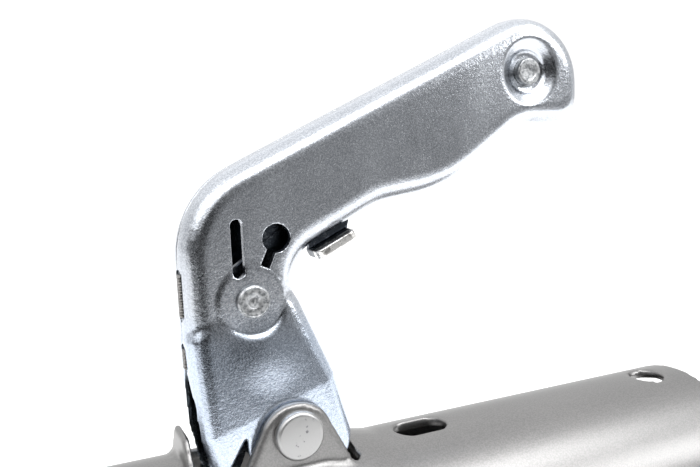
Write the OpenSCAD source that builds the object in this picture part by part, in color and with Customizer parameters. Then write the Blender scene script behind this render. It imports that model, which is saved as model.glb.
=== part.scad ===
// Coupling head for a round trailer drawbar: a pressed body over the towing ball,
// a raised handle of two pressed halves, and the jaw that the handle swings.
// Millimetres, origin at the ball centre, +X towards the trailer, +Z up.

/* [Ball socket] */
// Diameter of the towing ball
ball_d = 50; // [48:0.5:52]
// Radial play between the ball and its cup
ball_play = 0.5; // [0.2:0.1:0.8]
// Thickness of the pressed body sheet
body_sheet = 3.2; // [2.8:0.1:3.6]
// Depth of the skirt below the ball centre
skirt_depth = 20; // [17:0.5:23]

/* [Drawbar socket] */
// Outside diameter of the drawbar tube
drawbar_d = 60; // [57:0.5:62]
// Radial play of the drawbar in its socket
drawbar_play = 0.3; // [0.1:0.1:0.6]
// Height of the ball centre above the drawbar axis
axis_drop = 10; // [8:0.5:12]
// Distance from the ball centre to the rear end
rear_reach = 206; // [196:1:220]
// Distance from the ball centre to where the socket is fully round
socket_start = 84; // [80:1:88]

/* [Drawbar bolts] */
// Diameter of the rear bolt hole
bolt_hole_d = 11.5; // [10.5:0.25:12.5]
// Distance from the rear hole to the rear end
rear_hole_inset = 15; // [12:0.5:20]
// Pitch between the rear hole and the front slot
hole_pitch = 92.5; // [88:0.5:96]
// Length of the front slot
slot_l = 17; // [15:0.5:20]
// Width of the front slot
slot_w = 10.5; // [10:0.25:12]

/* [Handle pivot] */
// Distance of the ears' centre behind the ball centre
pivot_x = 54; // [53:0.25:55.5]
// Height of the ears' centre above the ball centre
pivot_z = 32.5; // [32:0.25:33.5]
// Height of the pivot pin above the ears' centre
pin_rise = 2.2; // [1.8:0.1:2.4]
// Diameter of the pivot pin
pin_d = 9; // [8:0.25:9.5]
// Diameter of the pivot pin's head
pin_head_d = 13.2; // [12:0.2:14.5]
// Thickness of the pivot pin's head
pin_head_t = 2.8; // [2:0.2:3.4]
// Radius of the ears around the pivot
ear_r = 10.5; // [9.8:0.1:11]
// Lean of the ears' flanks
ear_lean = 27; // [24:1:30]
// Height of the catch plate above the ears' centre
catch_plate_top = 4.1; // [3.6:0.1:4.4]
// Width of the catch plate
catch_plate_w = 13.6; // [12:0.4:16]
// Thickness of the catch plate
catch_plate_t = 2; // [1.6:0.1:2.4]

/* [Handle] */
// Width of the handle over its flat faces
handle_w = 14.6; // [14.2:0.1:15.2]
// Thickness of the handle's sheet
handle_sheet = 2; // [1.8:0.1:2.2]
// Radius pressed along the handle's edges
edge_r = 6; // [5.6:0.1:6.4]
// Width over the handle's legs at the pivot
legs_w = 20.4; // [20:0.1:20.8]
// Radius of the grip's round end
grip_end_r = 19.5; // [18.5:0.25:20]
// Slope of the grip's back
grip_slope = 24; // [23:0.25:25]

/* [Rivets] */
// Diameter of the grip rivet
grip_rivet_d = 6; // [5:0.25:7]
// Diameter of the catch rivet
catch_rivet_d = 5; // [4.5:0.25:6]
// Diameter of the jaw pin
jaw_pin_d = 8; // [7:0.25:9]

/* [Jaw] */
// Width of the jaw's pad
jaw_w = 26; // [22:0.5:30]
// Thickness of the jaw's pad
jaw_t = 7.5; // [6.5:0.25:8.5]
// Travel of the handle from raised to lowered, in degrees
handle_travel = 28; // [24:1:30]

/* [Catch] */
// Thickness of the safety catch's sheet
catch_t = 2.4; // [2:0.1:2.8]
// Width of the catch's finger tab
tab_w = 9; // [7.5:0.25:10]

/* [Springs] */
// Wire thickness of the jaw spring
jaw_wire = 2.2; // [1.8:0.1:2.4]
// Wire thickness of the catch spring
catch_wire = 1; // [0.8:0.1:1.2]

/* [Clearances] */
// Radial play of pins and rivets in what turns on them
run_play = 0.06; // [0.04:0.01:0.08]
// Gap between faces that pass each other
side_gap = 0.3; // [0.2:0.05:0.35]

/* [Hidden] */
$fn = 72;
over = 1;
slice = 0.02;
hull_inset = 0.12;

// Body
cup_r = ball_d / 2 + ball_play;
dome_r = cup_r + body_sheet;
socket_r = drawbar_d / 2 + drawbar_play;
tube_r = socket_r + body_sheet;
leg_y = legs_w / 2;
ear_in = leg_y + side_gap;
ear_out = ear_in + body_sheet;
well_start = -27;
well_end = 18.5;
channel_end = pivot_x + 8;
rear_hole_x = rear_reach - rear_hole_inset;
slot_x = rear_hole_x - hole_pitch;

// Handle, in the ears' own frame: x back from their centre, z up from it
pin_at = [0, pin_rise];
half_w = handle_w / 2;
spine_x = -26;
grip_end = [82.9, 93.6];
grip_x = grip_end.x + grip_end_r;
back_z = grip_end.y + grip_end_r / cos(grip_slope);
function back_at(x) = back_z + (x - grip_end.x) * tan(grip_slope);
// Corners of the handle's side view, each with the radius that rounds it
handle_corners = [
    [spine_x, 24, 7],
    [9.8, 24, 7],
    [1.3, 46.7, 12],
    [31, 60.7, 22],
    [53.9, 63.5, 46],
    [79.5, 81, 14],
    [grip_x, 80.6, 9],
    [grip_x, back_at(grip_x), grip_end_r],
    [spine_x, back_at(spine_x), 26]
];
// Sections of a leg: heights at front and rear, front and rear edges, depth, edge radius
leg_stations = [
    [[32, 41], [spine_x + 0.2, 3.4], half_w - 0.15, edge_r],
    [[28.5, 36], [spine_x - 0.1, 5.8], half_w + 0.7, 5],
    [[2.4, 15], [-24.8, 14.2], leg_y, 5],
    [[-14, -14], [-22, 22], leg_y, 5],
    [[-36, -36], [-20, 22], leg_y, 5]
];
lobe_r = 9.2;
lobe_rise = 0.3;
sweep_r = 18.2;
leg_eye_r = 12.7;
jaw_pivot = [7, -26];
jaw_eye_r = 7;
catch_pivot = [-8.3, 38];
grip_pivot = [82.2, 96.8];
dish_r = 10;
dish_floor_r = 6.6;
dish_depth = 2.8;
rivet_head_t = 1.5;
sleeve_r = pin_d / 2 + 1.6;
jaw_shift = jaw_pivot - pin_at - turned(jaw_pivot - pin_at, handle_travel);
washer_t = 1;
leg_in = leg_y - handle_sheet;
washer_in = leg_in - washer_t;

// Safety catch: its web's outline, the line of its finger tab, and its way out of the handle
catch_boss_r = 6;
catch_outline = [[-13.5, 41], [-11, 46.5], [-2, 53], [6, 58.5], [12, 62], [24.5, 62],
    [22.2, 53.2], [10.9, 48], [10.4, 51.9], [8.6, 53.2], [0.8, 48.8], [-2.3, 43], [-3.2, 36],
    [-10.5, 10], [-10.5, -4], [-13, -10], [-21, -10.3], [-24, -8.2], [-23.2, -6], [-18, -5.6],
    [-15.5, 0], [-15.5, 12]];
tab_line = [[10.3, 49.1], [21.9, 54.4]];
tab_corner_r = 2;
web_opening = [[8.2, 46], [25.5, 53.5], [29, 66], [7, 62]];

function turned(p, a) = [p.x * cos(a) + p.y * sin(a), -p.x * sin(a) + p.y * cos(a)];
function unit(v) = v / norm(v);
function flatten(rows) = [for (row = rows) each row];

// One rounded corner as [centre, radius, start angle, signed sweep]
function corner_arc(a, b, c, r) =
    let (u = unit(a - b))
    let (w = unit(c - b))
    let (half = acos(u * w) / 2)
    let (centre = b + unit(u + w) * r / sin(half))
    let (start = b + u * r / tan(half) - centre)
    let (turn = sign(cross(b - a, c - b)))
    [centre, r, atan2(start.y, start.x), turn * (180 - 2 * half)];

function xz(p) = [p.x, p.y];
function corner_arcs(corners) =
    let (n = len(corners))
    [for (i = [0:n - 1]) corner_arc(xz(corners[(i + n - 1) % n]), xz(corners[i]),
        xz(corners[(i + 1) % n]), corners[i].z)];

// Points round the outline, moved inwards by d
function outline(arcs, d) = flatten([for (arc = arcs)
    let (bend = abs(arc[3]))
    let (steps = ceil(max(2, bend / 8, arc[1] * bend * PI / 180 / 3.5)))
    let (r = arc[1] - sign(arc[3]) * d)
    [for (i = [0:steps])
        let (a = arc[2] + arc[3] * i / steps)
        arc[0] + r * [cos(a), sin(a)]]]);

// Closed skin over rings that have equal numbers of points
module skin(rings) {
    n = len(rings[0]);
    last = len(rings) - 1;
    polyhedron(
        points = flatten(rings),
        faces = concat(
            [[for (i = [0:n - 1]) n - 1 - i]],
            [[for (i = [0:n - 1]) last * n + i]],
            flatten([for (k = [0:last - 1]) [for (i = [0:n - 1])
                [k * n + i, k * n + (i + 1) % n, (k + 1) * n + (i + 1) % n, (k + 1) * n + i]]])),
        convexity = 6);
}

// Rings of a pressed edge, from the face in to the mid plane
function tray_rings(arcs, depth, edge, inset) =
    let (steps = 5)
    let (levels = concat([for (i = [steps:-1:0])
        [depth - edge + edge * sin(90 * i / steps), inset + edge * (1 - cos(90 * i / steps))]],
        [[0, inset]]))
    [for (level = levels) [for (p = outline(arcs, level[1])) [p.x, -level[0], p.y]]];

function backwards(rows) = [for (i = [len(rows) - 1:-1:0]) rows[i]];

// Pressed half tray: its outside and its inside as one skin, open at the mid plane
module tray(arcs, depth, edge, sheet) {
    skin(concat(tray_rings(arcs, depth, edge, 0),
        backwards(tray_rings(arcs, depth - sheet, edge - sheet, sheet))));
}

module at_pivot() {
    translate([pivot_x, 0, pivot_z]) children();
}

module at_pin() {
    at_pivot() translate([pin_at.x, 0, pin_at.y]) children();
}

// A flat shape drawn in the side view, as a plate from y0 to y1
module plate(y0, y1) {
    translate([0, y1, 0]) rotate([90, 0, 0]) linear_extrude(y1 - y0) children();
}

// A round bar across the part, from y0 to y1
module bar(r, y0, y1) {
    translate([0, y1, 0]) rotate([90, 0, 0]) cylinder(r = r, h = y1 - y0);
}

module bar_at(p, r, y0, y1) {
    translate([p.x, 0, p.y]) bar(r, y0, y1);
}

// Body

// Section of the pressed channel, open below
module u_section(r, depth) {
    intersection() {
        union() {
            circle(r = r);
            translate([-r, -depth]) square([2 * r, depth]);
        }
        translate([-2 * r, -depth]) square([4 * r, depth + 2 * r]);
    }
}

module u_slice(x, r, depth) {
    translate([x, 0, 0]) rotate([90, 0, 90]) linear_extrude(slice) u_section(r, depth, $fn = 48);
}

module round_slice(x, r) {
    translate([x, 0, -axis_drop]) rotate([90, 0, 90]) cylinder(r = r, h = slice, $fn = 48);
}

module channel(r, depth, x0, x1) {
    translate([x0, 0, 0]) rotate([90, 0, 90]) linear_extrude(x1 - x0) u_section(r, depth);
}

module body_solid(r, tube, depth, lap) {
    intersection() {
        union() {
            sphere(r = r);
            translate([0, 0, -depth]) cylinder(r = r, h = depth);
        }
        translate([-2 * r, -2 * r, -depth]) cube([2 * r, 4 * r, depth + 2 * r]);
    }
    channel(r, depth, 0, channel_end);
    hull() {
        u_slice(channel_end - over, r - hull_inset, depth - hull_inset);
        round_slice(socket_start + over, tube - hull_inset);
    }
    translate([socket_start, 0, -axis_drop]) rotate([0, 90, 0])
        cylinder(r = tube, h = rear_reach - socket_start + lap);
}

module ear_shape() {
    flank = ear_r - hull_inset;
    foot = 20;
    circle(r = ear_r);
    polygon([
        flank * [-cos(ear_lean), sin(ear_lean)],
        flank * [-cos(ear_lean), sin(ear_lean)] - foot * [sin(ear_lean), cos(ear_lean)],
        flank * [cos(ear_lean), sin(ear_lean)] + foot * [sin(ear_lean), -cos(ear_lean)],
        flank * [cos(ear_lean), sin(ear_lean)]
    ]);
}

// Upturned tongue at the front of the well, wider at its foot
module catch_plate() {
    half = catch_plate_w / 2;
    chamfer = 1.4;
    root = -10;
    spread = 15.5;
    translate([well_start - catch_plate_t, 0, 0]) rotate([90, 0, 90])
        linear_extrude(catch_plate_t)
            polygon([[-spread, root], [-half, catch_plate_top - chamfer],
                [-half + chamfer, catch_plate_top], [half - chamfer, catch_plate_top],
                [half, catch_plate_top - chamfer], [spread, root]]);
}

module body_shell() {
    color("#b4b7ba") difference() {
        union() {
            difference() {
                body_solid(dome_r, tube_r, skirt_depth, 0);
                body_solid(cup_r, socket_r, skirt_depth + over, over);
            }
            difference() {
                at_pivot() {
                    for (side = [-1, 1])
                        plate(side > 0 ? ear_in : -ear_out, side > 0 ? ear_out : -ear_in)
                            ear_shape();
                    catch_plate();
                }
                body_solid(cup_r, socket_r, skirt_depth + over, over);
            }
        }
        // Well that the handle's legs work in
        at_pivot() translate([well_start, -ear_in, -20])
            cube([well_end - well_start - 2.4, 2 * ear_in, 60]);
        at_pivot() translate([well_end - 2.4 - over, -ear_in + 2.4, -20])
            cube([2.4 + over, 2 * ear_in - 4.8, 20]);
        for (side = [-1, 1])
            translate([pivot_x + well_end - 2.4, side * (ear_in - 0.4), pivot_z - 20])
                cylinder(r = 2.6, h = 20);
        // Pivot bores
        at_pin() bar(pin_d / 2 + 0.02, -ear_out - over, ear_out + over);
        // Bolt hole and slot through both walls of the tube
        translate([0, 0, -axis_drop - tube_r - over]) {
            through = 2 * tube_r + 2 * over;
            translate([rear_hole_x, 0, 0]) cylinder(d = bolt_hole_d, h = through);
            for (end = [-1, 1])
                translate([slot_x + end * (slot_l - slot_w) / 2, 0, 0])
                    cylinder(d = slot_w, h = through);
            translate([slot_x - (slot_l - slot_w) / 2, -slot_w / 2, 0])
                cube([slot_l - slot_w, slot_w, through]);
        }
    }
}

// Handle halves

// Edge of a leg's section from the front round to the rear, inset by d
function leg_edge(s, d) =
    let (steps = 4)
    let (edge = s[3] - d)
    let (y = s[2] - d)
    let (bow = [for (i = [0:steps])
        [edge * (1 - cos(90 * i / steps)), edge - y - edge * sin(90 * i / steps)]])
    concat([[s[1][0] + d, 0]], [for (p = bow) [s[1][0] + d + p.x, p.y]],
        [for (p = backwards(bow)) [s[1][1] - d - p.x, p.y]], [[s[1][1] - d, 0]]);

// Flared leg of bent sheet, a loft of open sections from the handle down
module leg_shell() {
    skin([for (s = leg_stations)
        let (rise = (s[0][1] - s[0][0]) / (s[1][1] - s[1][0]))
        [for (p = concat(leg_edge(s, 0), backwards(leg_edge(s, handle_sheet))))
            [p.x, p.y, s[0][0] + rise * (p.x - s[1][0])]]]);
}

// Side view of what is left of the legs below the handle
module leg_outline() {
    polygon([[-40, 130], [-40, -10], [-20.5, -10], [-11.2, 5.2], [-8.5, -4],
        [jaw_pivot.x - jaw_eye_r, jaw_pivot.y], [jaw_pivot.x + jaw_eye_r, jaw_pivot.y],
        pin_at + sweep_r * [cos(38), -sin(38)], pin_at + [sweep_r, 0],
        pin_at + [sweep_r + 2, 5], pin_at + [120, 5], [120, 130]]);
    circle(r = leg_eye_r);
    translate(pin_at) intersection() {
        circle(r = sweep_r);
        translate([0, -sweep_r]) square([sweep_r, sweep_r + 3]);
    }
    translate(jaw_pivot) circle(r = jaw_eye_r);
}

module key_hole() {
    head = [-0.8, 54];
    foot = [-4.4, 46.6];
    stem = 2.7;
    across = stem / 2 * unit([foot.y - head.y, head.x - foot.x]);
    translate(head) circle(r = 3.9);
    polygon([head + across, foot + across, foot - across, head - across]);
}

module sight_slot() {
    r = 1.7;
    translate([-11.5, 58.2]) circle(r = r);
    translate([-11.5, 46.1]) circle(r = r);
    translate([-11.5 - r, 46.1]) square([2 * r, 12.1]);
}

// Pressed sheet of one half before its holes and its dished seat
module handle_sheet_half() {
    top = leg_stations[0];
    rise = (top[0][1] - top[0][0]) / (top[1][1] - top[1][0]);
    lap = 1.3;
    resize([0, 0, 0]) difference() {
        union() {
            difference() {
                tray(corner_arcs(handle_corners), half_w, edge_r, handle_sheet);
                plate(-leg_y, over) polygon(concat([for (x = [-60, 60])
                    [x, top[0][0] - lap + rise * (x - top[1][0])]], [[60, -60], [-60, -60]]));
            }
            intersection() {
                leg_shell();
                plate(-leg_y - over, over) leg_outline();
            }
        }
        // Front flanges part below the seam, rear ones leave room for the catch's web
        translate([-40, 0, 0]) rotate([90, 0, 90]) linear_extrude(26)
            polygon([[over, 22], [0, 22], [-5.8, 12], [-7.2, 0], [-7.8, -12], [-7.8, -40],
                [over, -40]]);
        translate([-2, 0, 0]) rotate([90, 0, 90]) linear_extrude(30)
            polygon([[over, 26], [0, 26], [-6, 12], [-6, -40], [over, -40]]);
        plate(-catch_t / 2 - side_gap, over) polygon(web_opening);
    }
}

module handle_half() {
    difference() {
        union() {
            difference() {
                handle_sheet_half();
                bar_at(catch_pivot, lobe_r + lobe_rise, -leg_y - over, -half_w - slice);
            }
            // Lobe round the catch rivet, and the dished seat of the grip rivet
            bar_at(catch_pivot, lobe_r, -half_w - lobe_rise, -half_w + handle_sheet - lobe_rise);
            bar_at(grip_pivot, dish_r + handle_sheet, -half_w + 0.5,
                -half_w + dish_depth + handle_sheet);
        }
        translate([grip_pivot.x, -half_w, grip_pivot.y]) rotate([-90, 0, 0]) {
            translate([0, 0, -over]) cylinder(r = dish_r, h = over);
            cylinder(r1 = dish_r, r2 = dish_floor_r + 0.6, h = dish_depth * 0.6);
            cylinder(r = dish_floor_r, h = dish_depth);
        }
        bar_at(grip_pivot, grip_rivet_d / 2 + 0.02, -half_w, over);
        bar_at(catch_pivot, catch_rivet_d / 2 + 0.02, -leg_y, over);
        bar_at(jaw_pivot, jaw_pin_d / 2 + 0.02, -leg_y - over, over);
        bar_at(pin_at, pin_d / 2 + run_play, -leg_y - over, over);
        plate(-half_w - over, -edge_r / 2) {
            key_hole();
            sight_slot();
        }
    }
}

module handle_shell_near() {
    color("#a9b0ba") at_pivot() handle_half();
}

module handle_shell_far() {
    color("#a9b0ba") at_pivot() mirror([0, 1, 0]) handle_half();
}

// Weld beads that hold the two halves together along the spine
module seam_bead(z0, z1, ribs) {
    width = 2.6;
    translate([spine_x + 0.5, -width / 2, z0]) {
        translate([-0.9, 0, 0]) cube([0.9 - 0.5, width, z1 - z0]);
        for (i = [0:ribs - 1])
            translate([-0.9, 0, (i + 0.5) * (z1 - z0) / ribs]) rotate([-90, 0, 0])
                cylinder(r = 0.38, h = width, $fn = 16);
    }
}

module seam_weld_upper() {
    color("#8f959c") at_pivot() seam_bead(35, 47, 9);
}

module seam_weld_lower() {
    color("#8f959c") at_pivot() seam_bead(23, 27, 3);
}

// Rivets and pins

module grip_rivet() {
    color("#b9bdc2") at_pivot() translate([grip_pivot.x, 0, grip_pivot.y]) {
        seat = half_w - dish_depth;
        bar(grip_rivet_d / 2, -seat, seat);
        difference() {
            union() {
                bar(4.1, -seat - rivet_head_t, -seat);
                bar(4.1, seat, seat + rivet_head_t);
            }
            bar(1.9, -seat - rivet_head_t - over, -seat - rivet_head_t + 0.4);
        }
    }
}

module grip_spacer() {
    color("#9ea3a9") at_pivot() translate([grip_pivot.x, 0, grip_pivot.y]) {
        seat = half_w - dish_depth - handle_sheet;
        difference() {
            bar(4.4, -seat, seat);
            bar(grip_rivet_d / 2 + 0.02, -seat - over, seat + over);
        }
    }
}

module catch_rivet() {
    seat = half_w + lobe_rise;
    color("#b9bdc2") at_pivot() translate([catch_pivot.x, 0, catch_pivot.y]) difference() {
        union() {
            bar(catch_rivet_d / 2, -seat, seat);
            bar(4.1, -seat - rivet_head_t, -seat);
            bar(4.1, seat, seat + rivet_head_t);
        }
        for (side = [-1, 1])
            bar(1.2, side * (seat + rivet_head_t) - 0.4, side * (seat + rivet_head_t) + 0.4);
    }
}

module catch_spacer() {
    color("#9ea3a9") at_pivot() translate([catch_pivot.x, 0, catch_pivot.y]) difference() {
        bar(catch_rivet_d / 2 + 1.2, -half_w + handle_sheet + 0.2, -catch_t / 2 - 0.05);
        bar(catch_rivet_d / 2 + 0.02, -half_w, 0);
    }
}

// Wire swept along points with round sections
module wire(path, d, sides) {
    n = len(path);
    function along(i) = unit(path[min(i + 1, n - 1)] - path[max(i - 1, 0)]);
    function side_of(t) = unit(cross(t, abs(t.y) > 0.7 ? [1, 0, 0] : [0, 1, 0]));
    rings = [for (i = [0:n - 1])
        let (t = along(i))
        let (u = side_of(t))
        let (v = cross(t, u))
        [for (k = [0:sides - 1]) path[i] + d / 2 * (u * cos(360 * k / sides)
            + v * sin(360 * k / sides))]];
    skin(rings);
}

// Coil about the Y axis with a straight tang at each end
function coil_path(r, pitch, turns, a0, y0, tang0, tang1) =
    let (steps = ceil(turns * 20))
    let (a1 = a0 + 360 * turns)
    concat(
        [[r * cos(a0) + tang0 * sin(a0), y0, r * sin(a0) - tang0 * cos(a0)]],
        [for (i = [0:steps])
            let (a = a0 + 360 * turns * i / steps)
            [r * cos(a), y0 + pitch * turns * i / steps, r * sin(a)]],
        [[r * cos(a1) - tang1 * sin(a1), y0 + pitch * turns, r * sin(a1) + tang1 * cos(a1)]]);

module catch_spring() {
    r = catch_rivet_d / 2 + catch_wire / 2 + 0.4;
    y0 = catch_t / 2 + side_gap + catch_wire / 2;
    pitch = catch_wire * 1.15;
    color("#7d8288") at_pivot() translate([catch_pivot.x, 0, catch_pivot.y])
        wire(coil_path(r, pitch, 2.2, -50, y0, 7, 8), catch_wire, 8);
}

module jaw_spring() {
    r = sleeve_r + jaw_wire / 2 + 0.4;
    y0 = catch_t / 2 + side_gap + jaw_wire / 2 + 0.2;
    pitch = jaw_wire * 1.06;
    color("#7d8288") at_pin() for (side = [-1, 1])
        scale([1, side, 1])
            wire(coil_path(r, pitch, 1.7, 20, y0, 4, 6), jaw_wire, 8);
}

module pivot_pin() {
    tail = ear_out + washer_t + 2.6;
    color("#c3c5c6") at_pin() difference() {
        union() {
            bar(pin_d / 2, -ear_out, tail);
            bar(pin_head_d / 2, -ear_out - pin_head_t, -ear_out);
        }
        difference() {
            bar(pin_d / 2 + over, ear_out + washer_t, ear_out + washer_t + 1.1);
            bar(pin_d / 2 - 0.6, ear_out, tail);
        }
    }
}

module pivot_washer() {
    color("#9ea3a9") at_pin() difference() {
        bar(pin_d / 2 + 3.4, ear_out, ear_out + washer_t);
        bar(pin_d / 2 + 0.15, ear_out - over, ear_out + washer_t + over);
    }
}

module pivot_clip() {
    inner = pin_d / 2 - 0.55;
    color("#6f7479") at_pin() difference() {
        bar(pin_d / 2 + 1.8, ear_out + washer_t + 0.05, ear_out + washer_t + 1.05);
        bar(inner, ear_out, ear_out + washer_t + 2);
        translate([-inner * 0.8, ear_out, -pin_d]) cube([inner * 1.6, 4, pin_d]);
    }
}

module pivot_sleeve() {
    color("#9ea3a9") at_pin() difference() {
        bar(sleeve_r, -leg_in, leg_in);
        bar(pin_d / 2 + run_play, -leg_in - over, leg_in + over);
    }
}

// Jaw, drawn in its closed place against the ball and then drawn back

module jaw_profile(eye) {
    top = -2;
    low = -46;
    inner = cup_r * 0.9;
    outer = cup_r + jaw_t;
    difference() {
        polygon([
            inner * [cos(top), sin(top)],
            eye + [-0.35, 0.9] * jaw_eye_r,
            eye + [0.7, -0.5] * jaw_eye_r,
            outer * [cos(low), sin(low)],
            inner * [cos(low), sin(low)]
        ]);
        translate([0, -skirt_depth - 40]) square([80, 40.8]);
    }
}

module locking_jaw() {
    eye_w = 2 * (washer_in - 0.1);
    eye = [pivot_x, pivot_z] + jaw_pivot - jaw_shift;
    color("#8d9196") translate([jaw_shift.x, 0, jaw_shift.y]) difference() {
        union() {
            intersection() {
                plate(-jaw_w / 2, jaw_w / 2) jaw_profile(eye);
                translate([0, -jaw_w / 2 - over, -60]) cube([cup_r + jaw_t, jaw_w + 2 * over, 120]);
            }
            plate(-eye_w / 2, eye_w / 2) jaw_profile(eye);
            bar_at(eye, jaw_eye_r, -eye_w / 2, eye_w / 2);
        }
        sphere(r = cup_r);
        bar_at(eye, jaw_pin_d / 2 + run_play, -jaw_w, jaw_w);
    }
}

module jaw_pin() {
    color("#b9bdc2") at_pivot() translate([jaw_pivot.x, 0, jaw_pivot.y]) {
        bar(jaw_pin_d / 2, -leg_y, leg_y);
        bar(jaw_pin_d / 2 + 2, -leg_y - 1.8, -leg_y);
        bar(jaw_pin_d / 2 + 2, leg_y, leg_y + 1.8);
    }
}

module jaw_washers() {
    color("#9ea3a9") at_pivot() translate([jaw_pivot.x, 0, jaw_pivot.y]) for (side = [-1, 1])
        difference() {
            bar(jaw_pin_d / 2 + 2.4, side > 0 ? washer_in : -leg_in, side > 0 ? leg_in : -washer_in);
            bar(jaw_pin_d / 2 + 0.15, -leg_y, leg_y);
        }
}

// Safety catch: flat web in the mid plane with a finger tab and a nose

module catch_profile() {
    translate(catch_pivot) circle(r = catch_boss_r);
    polygon(catch_outline);
}

// Finger tab, bent square to the web, with its two outer corners rounded
module finger_tab() {
    along = tab_line[1] - tab_line[0];
    length = norm(along);
    r = tab_corner_r;
    lap = 0.3;
    translate([tab_line[0].x, catch_t / 2 - tab_w, tab_line[0].y])
        rotate([0, -atan2(along.y, along.x), 0]) translate([0, 0, -catch_t])
            linear_extrude(catch_t) {
                translate([0, r]) square([length, tab_w - r - lap]);
                translate([r, 0]) square([length - 2 * r, r]);
                for (x = [r, length - r])
                    translate([x, r]) circle(r = r);
            }
}

module safety_catch() {
    color("#9aa1aa") at_pivot() difference() {
        union() {
            plate(-catch_t / 2, catch_t / 2) catch_profile();
            finger_tab();
        }
        bar_at(catch_pivot, catch_rivet_d / 2 + run_play, -over - catch_t, over + catch_t);
    }
}

body_shell();
handle_shell_near();
handle_shell_far();
seam_weld_upper();
seam_weld_lower();
grip_rivet();
grip_spacer();
catch_rivet();
catch_spacer();
catch_spring();
safety_catch();
pivot_pin();
pivot_washer();
pivot_clip();
pivot_sleeve();
jaw_spring();
locking_jaw();
jaw_pin();
jaw_washers();
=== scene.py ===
# Trailer coupling head: pressed body, raised handle of two halves, safety catch and ball jaw.
import math
import bpy
from mathutils import Matrix, Vector


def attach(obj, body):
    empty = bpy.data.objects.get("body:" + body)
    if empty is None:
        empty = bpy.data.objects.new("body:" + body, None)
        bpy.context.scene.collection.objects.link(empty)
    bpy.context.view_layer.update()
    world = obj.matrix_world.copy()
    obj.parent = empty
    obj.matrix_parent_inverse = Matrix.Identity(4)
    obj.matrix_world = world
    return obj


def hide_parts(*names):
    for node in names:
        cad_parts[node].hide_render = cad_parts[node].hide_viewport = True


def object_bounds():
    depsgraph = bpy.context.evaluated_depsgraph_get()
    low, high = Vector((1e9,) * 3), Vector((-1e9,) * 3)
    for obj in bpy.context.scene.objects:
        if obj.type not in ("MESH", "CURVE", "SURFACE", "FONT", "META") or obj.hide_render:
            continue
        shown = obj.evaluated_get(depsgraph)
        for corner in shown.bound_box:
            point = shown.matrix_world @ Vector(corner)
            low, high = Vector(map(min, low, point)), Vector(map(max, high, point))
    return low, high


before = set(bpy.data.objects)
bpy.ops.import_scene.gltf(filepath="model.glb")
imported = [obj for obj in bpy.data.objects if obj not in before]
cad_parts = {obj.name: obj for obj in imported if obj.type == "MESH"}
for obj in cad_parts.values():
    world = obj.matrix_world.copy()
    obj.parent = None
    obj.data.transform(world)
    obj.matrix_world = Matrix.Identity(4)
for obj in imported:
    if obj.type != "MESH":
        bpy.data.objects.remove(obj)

cad_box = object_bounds()

# ---- Camera: hand height on the near side, a little ahead of the pivot, looking along the
# handle at its face. A normal lens at arm's length.
azimuth, pitch, roll = math.radians(24.1), math.radians(7.4), math.radians(-2.5)
forward = Vector((math.sin(azimuth) * math.cos(pitch), math.cos(azimuth) * math.cos(pitch),
                  -math.sin(pitch)))
level = Vector((math.cos(azimuth), -math.sin(azimuth), 0))
upright = level.cross(forward)
side = level * math.cos(roll) + upright * math.sin(roll)
top = upright * math.cos(roll) - level * math.sin(roll)
bpy.ops.object.camera_add()
camera = bpy.context.object
camera.matrix_world = Matrix.Translation((-0.0095, -0.195, 0.1125)) @ Matrix(
    (side, top, -forward)).transposed().to_4x4()
camera.data.lens = 38.77
camera.data.clip_start = 0.01
bpy.context.scene.camera = camera

# ---- Studio: a pale floor under the drawbar tube, and soft white light from above and from
# both sides of a plain room.
bpy.ops.object.select_all(action="DESELECT")
bpy.ops.mesh.primitive_plane_add(size=6, location=(0, 2.72, cad_box[0][2] - 0.0005))
floor = bpy.context.object
floor.name = "floor"
bpy.ops.object.transform_apply(location=True, rotation=True, scale=True)


class Sock:
    """A shader socket that can be written in sums, with its material's nodes."""

    def __init__(self, look, socket):
        self.look, self.socket = look, socket

    def _with(self, other, operation, swap=False):
        first, second = (other, self) if swap else (self, other)
        return self.look.node("ShaderNodeMath", {"operation": operation},
                              {0: first, 1: second})[0]

    def __add__(self, other): return self._with(other, "ADD")
    def __radd__(self, other): return self._with(other, "ADD", True)
    def __sub__(self, other): return self._with(other, "SUBTRACT")
    def __rsub__(self, other): return self._with(other, "SUBTRACT", True)
    def __mul__(self, other): return self._with(other, "MULTIPLY")
    def __rmul__(self, other): return self._with(other, "MULTIPLY", True)
    def most(self, other): return self._with(other, "MAXIMUM")

    def ramp(self, low, high, start=0.0, end=1.0):
        """Runs softly from start to end while the value goes from low to high."""
        return self.look.node("ShaderNodeMapRange", {"interpolation_type": "SMOOTHSTEP"},
                              {0: self, 1: low, 2: high, 3: start, 4: end})[0]


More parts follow.
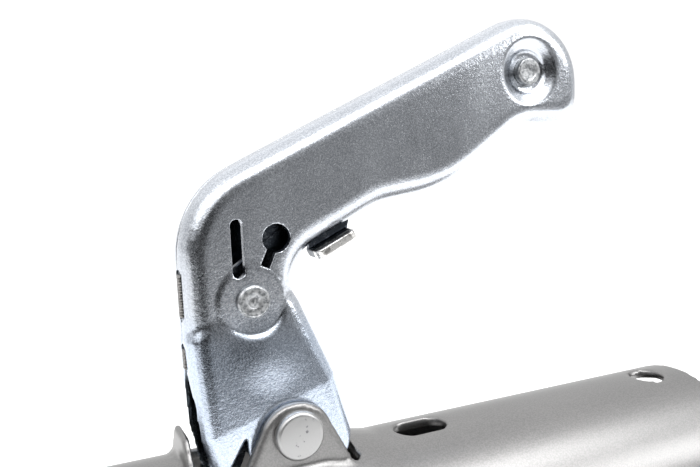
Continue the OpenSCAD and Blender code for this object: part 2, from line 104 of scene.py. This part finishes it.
class Look:
    """A material, or the room's light, that is built node by node."""

    def __init__(self, holder, shader="Principled BSDF"):
        self.holder = holder
        self.holder.use_nodes = True
        self.tree = self.holder.node_tree
        self.shader = self.tree.nodes[shader]

    def node(self, kind, settings=None, sockets=None):
        node = self.tree.nodes.new(kind)
        for key, value in (settings or {}).items():
            setattr(node, key, value)
        for key, value in (sockets or {}).items():
            if isinstance(value, Sock):
                self.tree.links.new(value.socket, node.inputs[key])
            else:
                node.inputs[key].default_value = value
        return [Sock(self, out) for out in node.outputs]

    def place(self):
        return self.node("ShaderNodeTexCoord")[3]

    def noise(self, scale, detail=3.0, rough=0.55, stretch=(1, 1, 1)):
        place = self.node("ShaderNodeMapping", None,
                          {"Vector": self.place(), "Scale": stretch})[0]
        return self.node("ShaderNodeTexNoise", {"noise_dimensions": "3D"},
                         {"Vector": place, "Scale": scale, "Detail": detail,
                          "Roughness": rough})[0]

    def blend(self, amount, first, second):
        return self.node("ShaderNodeMix", {"data_type": "RGBA"},
                         {"Factor": amount, 6: first, 7: second})[2]

    def bump(self, height, depth, strength):
        return self.node("ShaderNodeBump", None,
                         {"Height": height, "Distance": depth, "Strength": strength})[0]

    def finish(self, **inputs):
        for key, value in inputs.items():
            name = key.replace("_", " ")
            if isinstance(value, Sock):
                self.tree.links.new(value.socket, self.shader.inputs[name])
            else:
                self.shader.inputs[name].default_value = value
        return self.holder


def new_look(name):
    """A new material of that name, ready for its nodes."""
    return Look(bpy.data.materials.new(name))


paint = new_look("pale_floor")
mottle = paint.noise(9.0, 2.0)
floor.data.materials.append(paint.finish(
    Base_Color=paint.blend(mottle, (0.90, 0.90, 0.90, 1), (0.94, 0.94, 0.94, 1)),
    Roughness=0.9, Emission_Color=(1, 1, 1, 1), Emission_Strength=0.2))


def soft_box(name, place, aim, size, power):
    """A soft light of that size at a place, turned to where it aims."""
    bpy.ops.object.light_add(type="AREA", location=place)
    lamp = bpy.context.object
    lamp.name = name
    lamp.data.shape = "RECTANGLE"
    lamp.data.size, lamp.data.size_y = size
    lamp.data.energy = power
    lamp.rotation_euler = (Vector(aim) - Vector(place)).to_track_quat("-Z", "Y").to_euler()


soft_box("top_light", (0.22, -0.42, 0.72), (0.1, 0, 0.05), (1.1, 0.28), 5.5)
soft_box("right_light", (1.15, -0.95, 0.62), (0.12, 0, 0.02), (0.5, 0.5), 6)

# The room by the direction that is looked in: right, away and up. It has a dark corner at the
# left front, a window above that, a pale floor and ceiling, and a white wall at the back.
bpy.context.scene.world = bpy.data.worlds.new("room")
room = Look(bpy.context.scene.world, "Background")
right, away, up = room.node("ShaderNodeSeparateXYZ", None,
                            {0: room.node("ShaderNodeTexCoord")[0]})
dark_corner = (right * -0.616 + away * -0.788).ramp(0.64, 0.80) * up.ramp(0.22, 0.42, 0.95, 0.0)
window = (right * -0.63 + away * -0.50 + up * 0.59).ramp(0.88, 0.96, 0.0, 1.3)
walls = (away + up.most(0.0) * 0.9).ramp(-0.7, -0.1, 0.25, 0.84)
low = (up * -1.0).ramp(0.10, 0.30, 0.0, 0.30)
high = up.ramp(0.30, 0.80, 0.0, 0.40)
back_wall = away.ramp(0.4, 0.6, 0.0, 0.22)
room.finish(Color=(1, 1, 1, 1),
            Strength=(walls + low) * (1.0 - dark_corner) + high + window + back_wall)
bpy.context.scene.view_settings.view_transform = "Standard"

# ---- Handle halves: two trays pressed from mild steel sheet, each with a flared leg, a dished
# seat for the grip rivet, a sight slot and a keyhole. They are zinc plated, bright and a little
# bluish, with a bluer painted reflection towards the foot and painted shade on their inner faces.
zinc = new_look("bright_zinc")
speckle = zinc.noise(2300.0, 2.0, 0.6)
cloud = zinc.noise(70.0, 4.0, 0.6, (1, 1, 0.5))
peel = zinc.noise(900.0, 2.0, 0.5)
grit = speckle.ramp(0.35, 0.65)
across, height = zinc.node("ShaderNodeSeparateXYZ", None, {0: zinc.place()})[1:]
faces_across = zinc.node("ShaderNodeSeparateXYZ", None,
                         {0: zinc.node("ShaderNodeTexCoord")[1]})[1]
# Painted shade: faces turned towards the mid plane, inside the hollow halves, are coloured near
# black.
inside_painted_shade = (faces_across * across * -1.0).ramp(0.0008, 0.003)
# Painted reflection: lower down the zinc is coloured bluer, as if it mirrored a bluish room below.
foot_painted_reflection = (height * -1.0 + cloud * 0.01).ramp(-0.067, -0.052)
tone = grit * 0.65 + cloud * 0.35
neutral = zinc.blend(tone, (0.42, 0.445, 0.49, 1), (0.68, 0.71, 0.755, 1))
bluish = zinc.blend(tone, (0.40, 0.46, 0.55, 1), (0.66, 0.73, 0.84, 1))
plated = zinc.finish(
    Base_Color=zinc.blend(inside_painted_shade, zinc.blend(foot_painted_reflection, neutral, bluish),
                          (0.05, 0.06, 0.07, 1)),
    Metallic=1.0,
    Roughness=cloud * 0.14 + speckle * 0.14 + 0.10,
    Normal=zinc.bump(speckle * 0.6 + peel * 0.9, 0.00006, 0.8))


def only(shape):
    """Selects one object and nothing else."""
    bpy.ops.object.select_all(action="DESELECT")
    shape.select_set(True)
    bpy.context.view_layer.objects.active = shape


def copy_of(node, name):
    """A copy of a solid's mesh, with its loose triangles merged, to be shaped."""
    same_point = 2e-6
    only(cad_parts[node])
    bpy.ops.object.duplicate()
    blank = bpy.context.object
    blank.name = name
    bpy.ops.object.mode_set(mode="EDIT")
    bpy.ops.mesh.select_all(action="SELECT")
    bpy.ops.mesh.remove_doubles(threshold=same_point)
    bpy.ops.object.mode_set(mode="OBJECT")
    return blank


def coat(shape, material):
    """Gives a shape its one material."""
    shape.data.materials.clear()
    shape.data.materials.append(material)


def pressed(name, node, body, grid, rounds, material, plugs=()):
    """A copy of a sheet part with its edges and bends rounded as a press leaves them."""
    skin = copy_of(node, name)
    for plug in plugs:
        plug.select_set(True)
    if plugs:
        bpy.ops.object.join()
    even = skin.modifiers.new("even", "REMESH")
    even.mode = "VOXEL"
    even.voxel_size = grid
    bpy.ops.object.modifier_apply(modifier="even")
    ease = skin.modifiers.new("ease", "SMOOTH")
    ease.factor = 0.5
    ease.iterations = rounds
    bpy.ops.object.modifier_apply(modifier="ease")
    bpy.ops.object.shade_smooth()
    coat(skin, material)
    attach(skin, body)
    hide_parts(node)
    return skin


def soften(skin, centre, inner, outer, rounds, top=math.inf):
    """Eases the sheet in a ring round an axis along Y, as the draw radius of a punch does."""
    clear_of_seam = 0.0015
    only(skin)
    bpy.ops.object.mode_set(mode="EDIT")
    bpy.ops.mesh.select_mode(type="VERT")
    bpy.ops.mesh.select_all(action="DESELECT")
    bpy.ops.object.mode_set(mode="OBJECT")
    for vertex in skin.data.vertices:
        x, y, z = vertex.co
        from_axis = math.hypot(x - centre[0], z - centre[1])
        vertex.select = inner < from_axis < outer and abs(y) > clear_of_seam and z < top
    bpy.ops.object.mode_set(mode="EDIT")
    bpy.ops.mesh.vertices_smooth(factor=0.5, repeat=rounds)
    bpy.ops.object.mode_set(mode="OBJECT")


def trim(skin, place, normal):
    """Cuts off what lies beyond a plane and closes the cut."""
    only(skin)
    bpy.ops.object.mode_set(mode="EDIT")
    bpy.ops.mesh.select_all(action="SELECT")
    bpy.ops.mesh.bisect(plane_co=place, plane_no=normal, use_fill=True, clear_outer=True)
    bpy.ops.object.mode_set(mode="OBJECT")


def punch(kind, middle, size, tilt=0.0):
    """A round or long punch that stands along Y: size is its width, height and length in Y."""
    bpy.ops.object.select_all(action="DESELECT")
    if kind == "round":
        bpy.ops.mesh.primitive_cylinder_add(vertices=48, radius=0.5, depth=1,
                                            rotation=(math.pi / 2, 0, 0))
    else:
        bpy.ops.mesh.primitive_cube_add(size=1)
    tool = bpy.context.object
    bpy.ops.object.transform_apply(location=True, rotation=True, scale=True)
    tool.scale = (size[0], size[2], size[1])
    tool.rotation_euler = (0, tilt, 0)
    tool.location = middle
    bpy.ops.object.transform_apply(location=True, rotation=True, scale=True)
    return tool


def take_out(skin, tool):
    """Takes a tool's shape out of the sheet."""
    cut_out = skin.modifiers.new("cut_out", "BOOLEAN")
    cut_out.operation, cut_out.object, cut_out.solver = "DIFFERENCE", tool, "EXACT"
    bpy.context.view_layer.objects.active = skin
    bpy.ops.object.modifier_apply(modifier="cut_out")


def pierce(skin, tools):
    """Makes the holes of some tools, which are then put away."""
    for tool in tools:
        take_out(skin, tool)
        bpy.data.objects.remove(tool)


def holes(side, more, middle, depth):
    """The tools for the sight slot and the keyhole, wider than the holes by more."""
    y, slot_x, slot_w = side * middle, 0.0425, 0.0034 + more
    stem_w, stem_l, stem_lean = 0.0027 + more, 0.0082 + more, math.atan2(0.0036, 0.0074)
    head_d = 0.0078 + more
    return [punch("long", (slot_x, y, 0.08465), (slot_w, 0.0121, depth)),
            punch("round", (slot_x, y, 0.0786), (slot_w, slot_w, depth)),
            punch("round", (slot_x, y, 0.0907), (slot_w, slot_w, depth)),
            punch("long", (0.0514, y, 0.0828), (stem_w, stem_l, depth), stem_lean),
            punch("round", (0.0532, y, 0.0865), (head_d, head_d, depth))]


# Each half is made with its holes filled, so that only its own edges are rounded. Then the sheet
# is eased round its seat and its lobe, bellied below the lobe, pierced and cut back at the seam.
# To fill and to cut say how much wider the tools are, how far from the mid plane and how long.
grip_eye, catch_eye, leg_throat = (0.1362, 0.1293), (0.0457, 0.0705), (0.0650, 0.0650)
seam_gap, belly, belly_r, handle_grid = 0.0002, 0.0006, 0.012, 0.00045
to_fill, to_cut = (0.0012, 0.0063, 0.0019), (0.0, 0.0065, 0.0040)
near_skin = pressed("handle_near_skin", "handle_shell_near", "handle", handle_grid, 6, plated,
                    holes(-1, *to_fill))
far_skin = pressed("handle_far_skin", "handle_shell_far", "handle", handle_grid, 5, plated,
                   holes(1, *to_fill))
for skin, side in ((near_skin, -1), (far_skin, 1)):
    soften(skin, grip_eye, 0.0052, 0.0125, 5)
    bpy.ops.object.mode_set(mode="EDIT")
    bpy.ops.mesh.select_all(action="DESELECT")
    bpy.ops.object.mode_set(mode="OBJECT")
    belly_top = Vector((0.0490, side * 0.0088, 0.0560))
    min(skin.data.vertices, key=lambda vertex: (vertex.co - belly_top).length).select = True
    bpy.ops.object.mode_set(mode="EDIT")
    bpy.ops.transform.translate(value=(0, side * belly, 0), use_proportional_edit=True,
                                proportional_edit_falloff="SMOOTH", proportional_size=belly_r)
    bpy.ops.object.mode_set(mode="OBJECT")
    soften(skin, catch_eye, 0.0088, 0.0125, 8, catch_eye[1] - 0.003)
    soften(skin, leg_throat, -1, 0.0120, 5)
    pierce(skin, holes(side, *to_cut))
    trim(skin, (0, side * seam_gap, 0), (0, -side, 0))

# ---- Seam welds: two short beads that hold the halves together along the front, each laid in
# a shallow notch and left as welded, so the ripples show.
weld = new_look("weld_metal")
spatter = weld.noise(1900.0, 3.0, 0.6)
bead_metal = weld.finish(
    Base_Color=weld.blend(spatter.ramp(0.35, 0.65), (0.10, 0.095, 0.09, 1),
                          (0.40, 0.39, 0.38, 1)),
    Metallic=1.0,
    Roughness=spatter * 0.2 + 0.3,
    Normal=weld.bump(spatter, 0.0001, 0.8))
front_x, ripple_pitch = 0.0280, 0.00075
notch_t, notch_w, notch_point = 0.0012, 0.0048, 0.0013
for name, node, foot, head_z in (("weld_bead_upper", "seam_weld_upper", 0.0674, 0.0790),
                                 ("weld_bead_lower", "seam_weld_lower", 0.0535, 0.0592)):
    middle, length = (foot + head_z) / 2, head_z - foot
    bpy.ops.object.select_all(action="DESELECT")
    bpy.ops.mesh.primitive_cube_add(size=1, location=(front_x, -0.0009, middle),
                                    scale=(notch_t, notch_w, length))
    notch = bpy.context.object
    bpy.ops.object.transform_apply(location=True, rotation=True, scale=True)
    for end in (-1, 1):
        bpy.ops.object.mode_set(mode="EDIT")
        bpy.ops.mesh.select_mode(type="FACE")
        bpy.ops.mesh.select_all(action="DESELECT")
        bpy.ops.object.mode_set(mode="OBJECT")
        for face in notch.data.polygons:
            face.select = face.normal.z * end > 0.9
        bpy.ops.object.mode_set(mode="EDIT")
        bpy.ops.mesh.extrude_region_move(
            TRANSFORM_OT_translate={"value": (0, 0, end * notch_point)})
        bpy.ops.transform.resize(value=(1, 0.15, 1))
        bpy.ops.object.mode_set(mode="OBJECT")
    for skin in (near_skin, far_skin):
        take_out(skin, notch)
    bpy.data.objects.remove(notch)
    bpy.ops.object.select_all(action="DESELECT")
    bpy.ops.mesh.primitive_uv_sphere_add(segments=20, ring_count=12, radius=1,
                                         location=(front_x + 0.0003, -0.0007, foot + 0.0003),
                                         scale=(0.0006, 0.0019, 0.0005))
    bead = bpy.context.object
    bead.name = name
    bpy.ops.object.transform_apply(location=True, rotation=True, scale=True)
    ripples = bead.modifiers.new("ripples", "ARRAY")
    ripples.use_relative_offset, ripples.use_constant_offset = False, True
    ripples.constant_offset_displace = (0, 0, ripple_pitch)
    ripples.count = int(length / ripple_pitch)
    bpy.ops.object.modifier_apply(modifier="ripples")
    bpy.ops.object.shade_smooth()
    coat(bead, bead_metal)
    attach(bead, "handle")
    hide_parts(node)

# ---- Safety catch: a 2.4 mm steel plate between the halves, blackened, with a bent finger tab
# whose blanked edges stay bright. It turns on the catch rivet, and the corner of its web shuts
# the view through the keyhole.
black = new_look("blackened_steel")
scale_noise = black.noise(1500.0, 3.0, 0.6)
blotch = black.noise(260.0, 3.0, 0.6)
blanked = black.node("ShaderNodeSeparateXYZ", None, {0: black.place()})[1].ramp(
    -0.0043, -0.0045)
blackened = black.finish(
    Base_Color=black.blend(
        blanked,
        black.blend((blotch * 0.6 + scale_noise * 0.4).ramp(0.5, 0.66),
                    (0.055, 0.065, 0.08, 1), (0.22, 0.24, 0.27, 1)),
        black.blend(blotch.ramp(0.36, 0.5), (0.25, 0.24, 0.23, 1), (0.85, 0.84, 0.82, 1))),
    Metallic=1.0,
    Roughness=scale_noise * 0.2 + 0.2,
    Normal=black.bump(scale_noise, 0.00006, 0.7))
pressed("catch_plate", "safety_catch", "catch", 0.0003, 3, blackened)
web_d, web_t = 0.0120, 0.0018
web_corner = punch("round", (0.0530, 0, 0.0885), (web_d, web_d, web_t))
web_corner.name = "catch_web_corner"
web_corner.data.materials.append(blackened)
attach(web_corner, "catch")

# ---- Body: one deep pressing of 3.2 mm sheet over the ball and the drawbar, with a matte zinc
# finish. The cross hole near its rear end is a slip: the real piece has none, only the bolt hole
# and the slot from top to bottom, which come with the solid.
matte = new_look("matte_zinc")
grain = matte.noise(2100.0, 2.0, 0.6)
drift = matte.noise(22.0, 3.0, 0.5)
body_zinc = matte.finish(
    Base_Color=matte.blend(grain.ramp(0.35, 0.65) * 0.6 + drift * 0.4,
                           (0.21, 0.21, 0.21, 1), (0.305, 0.30, 0.297, 1)),
    Metallic=1.0,
    Roughness=grain * 0.14 + 0.30,
    Normal=matte.bump(grain, 0.00005, 0.6))
body_skin = pressed("body_skin", "body_shell", "body", 0.00092, 3, body_zinc)
cross_hole_x, cross_hole_d, through = 0.191, 0.0122, 0.2
pierce(body_skin, [punch("round", (cross_hole_x, 0, 0), (cross_hole_d, cross_hole_d, through))])

# ---- Rivets and pivot pin: steel wire upset cold at both ends, with a rounded rim and the turned
# marks of the rivet set on the head. The pin's head is cut flat and its tail takes a clip.
bright = new_look("upset_steel")
pit = bright.noise(1150.0, 4.0, 0.7)
grain = bright.noise(2600.0, 2.0, 0.6)
upset = bright.finish(
    Base_Color=bright.blend(pit.ramp(0.38, 0.58), (0.20, 0.21, 0.22, 1), (0.48, 0.49, 0.50, 1)),
    Metallic=1.0,
    Roughness=pit * 0.2 + grain * 0.1 + 0.22,
    Normal=bright.bump(pit * 0.7 + grain * 0.3, 0.00014, 0.9))
cut = new_look("cut_steel")
spot = cut.noise(620.0, 2.0, 0.5)
grain = cut.noise(2300.0, 2.0, 0.6)
sawn = cut.finish(
    Base_Color=cut.blend(spot.ramp(0.28, 0.36), (0.18, 0.18, 0.19, 1), (0.42, 0.42, 0.42, 1)),
    Metallic=1.0,
    Roughness=grain * 0.16 + 0.3,
    Normal=cut.bump(spot * 0.5 + grain * 0.5, 0.00006, 0.7))


def headed(name, node, body, eye, heads, material):
    """A copy of a turned part whose plain heads are cut off and made new, step by step.

    A head is its side, its seat in Y, radius, height and rim, and the insets of its face.
    """
    shank = copy_of(node, name)
    parts = [shank]
    for side, seat, radius, tall, rim, steps in heads:
        trim(shank, (0, side * seat, 0), (0, side, 0))
        bpy.ops.object.select_all(action="DESELECT")
        bpy.ops.mesh.primitive_cylinder_add(
            vertices=72, radius=radius, depth=tall,
            location=(eye[0], side * (seat + tall / 2), eye[1]),
            rotation=(-side * math.pi / 2, 0, 0))
        head = bpy.context.object
        bpy.ops.object.transform_apply(location=True, rotation=True, scale=True)
        bpy.ops.object.mode_set(mode="EDIT")
        bpy.ops.mesh.select_mode(type="FACE")
        bpy.ops.mesh.select_all(action="DESELECT")
        bpy.ops.object.mode_set(mode="OBJECT")
        for face in head.data.polygons:
            face.select = face.normal.y * side > 0.9
        bpy.ops.object.mode_set(mode="EDIT")
        for inward, outward in steps:
            bpy.ops.mesh.inset(thickness=inward, depth=outward)
        bpy.ops.object.mode_set(mode="OBJECT")
        round_off = head.modifiers.new("round_off", "BEVEL")
        round_off.width, round_off.segments, round_off.angle_limit = rim, 4, math.radians(35)
        bpy.ops.object.modifier_apply(modifier="round_off")
        parts.append(head)
    bpy.ops.object.select_all(action="DESELECT")
    for part in parts:
        part.select_set(True)
    bpy.context.view_layer.objects.active = shank
    bpy.ops.object.join()
    bpy.ops.object.shade_smooth_by_angle(angle=math.radians(40))
    coat(shank, material)
    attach(shank, body)
    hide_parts(node)


pin_eye = (0.054, 0.0347)
catch_steps = ((0.0006, 0.0005), (0.0002, -0.00035), (0.0008, 0.0001), (0.0012, -0.0001),
               (0.0003, -0.0002), (0.0004, 0.0001))
headed("catch_rivet_set", "catch_rivet", "handle", catch_eye,
       [(side, 0.0074, 0.0045, 0.0013, 0.00015, catch_steps) for side in (-1, 1)], upset)
grip_steps = ((0.0003, 0.0003), (0.0011, 0.0), (0.0003, -0.0004))
headed("grip_rivet_set", "grip_rivet", "handle", grip_eye,
       [(side, 0.0045, 0.0040, 0.0022, 0.0002, grip_steps) for side in (-1, 1)], upset)
pin_steps = ((0.0007, 0.0007),)
headed("pivot_pin_set", "pivot_pin", "body", pin_eye,
       [(-1, 0.0137, 0.0067, 0.0021, 0.0004, pin_steps)], sawn)

# ---- Spacers, washers and pins: turned from steel bar with a satin zinc finish. Springs, clip and
# jaw: coiled wire, spring strip and a forging, all dark. Their shapes come as the solids have them.
pale = new_look("satin_zinc")
fine = pale.noise(1200.0, 3.0, 0.6)
satin = pale.finish(
    Base_Color=pale.blend(fine, (0.58, 0.59, 0.60, 1), (0.70, 0.71, 0.72, 1)),
    Metallic=1.0, Roughness=fine * 0.15 + 0.32, Normal=pale.bump(fine, 0.00003, 0.6))
dark = new_look("dark_steel")
fine = dark.noise(900.0, 3.0, 0.6)
dull = dark.finish(
    Base_Color=dark.blend(fine, (0.20, 0.20, 0.21, 1), (0.30, 0.30, 0.31, 1)),
    Metallic=1.0, Roughness=fine * 0.2 + 0.35, Normal=dark.bump(fine, 0.00004, 0.6))
for name in ("pivot_washer", "jaw_pin", "jaw_washers", "grip_spacer", "catch_spacer",
             "pivot_sleeve"):
    coat(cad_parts[name], satin)
for name in ("catch_spring", "jaw_spring", "pivot_clip", "locking_jaw"):
    coat(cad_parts[name], dull)
